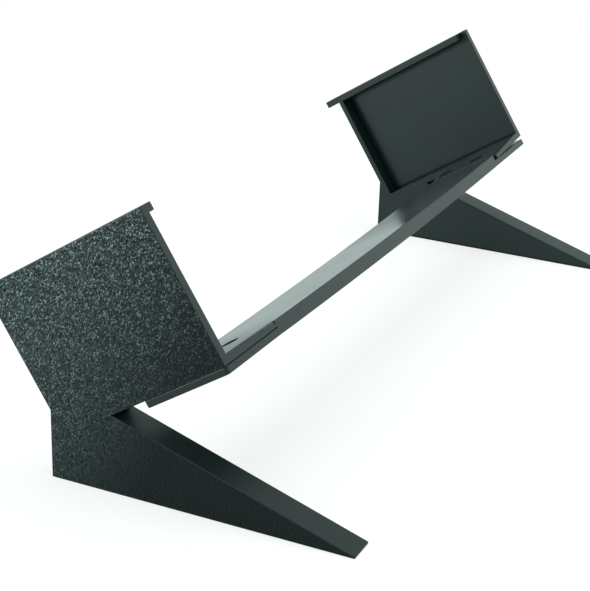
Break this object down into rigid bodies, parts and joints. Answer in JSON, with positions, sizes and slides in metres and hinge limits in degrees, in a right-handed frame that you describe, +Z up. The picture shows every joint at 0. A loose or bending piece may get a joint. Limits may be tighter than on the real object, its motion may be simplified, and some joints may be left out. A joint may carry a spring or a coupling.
{
  "type": "audio interface stand",
  "caption": "Desktop stand with mirrored wedge-footed end supports and a lapped crossbar that holds an audio interface tilted towards the user.",
  "frame": {"origin": "on the desk, at the bottom centre of the stand's box", "axes": "+X across the stand to the right seen from the front, -Y to the front where the feet point, +Z up"},
  "size_m": [0.294, 0.1412, 0.1019],
  "materials": {
    "printed_plastic": "dark green-grey 3-D printed plastic, satin, with a pebbled outer face on each support",
    "black_steel": "black oxide steel, satin"
  },
  "bodies": {
    "root": {"left_support": "printed_plastic", "right_support": "printed_plastic", "crossbar": "printed_plastic", "left_rear_screw": "black_steel", "left_front_screw": "black_steel", "right_rear_screw": "black_steel", "right_front_screw": "black_steel", "left_rear_nut": "black_steel", "left_front_nut": "black_steel", "right_rear_nut": "black_steel", "right_front_nut": "black_steel"}
  },
  "joints": []
}
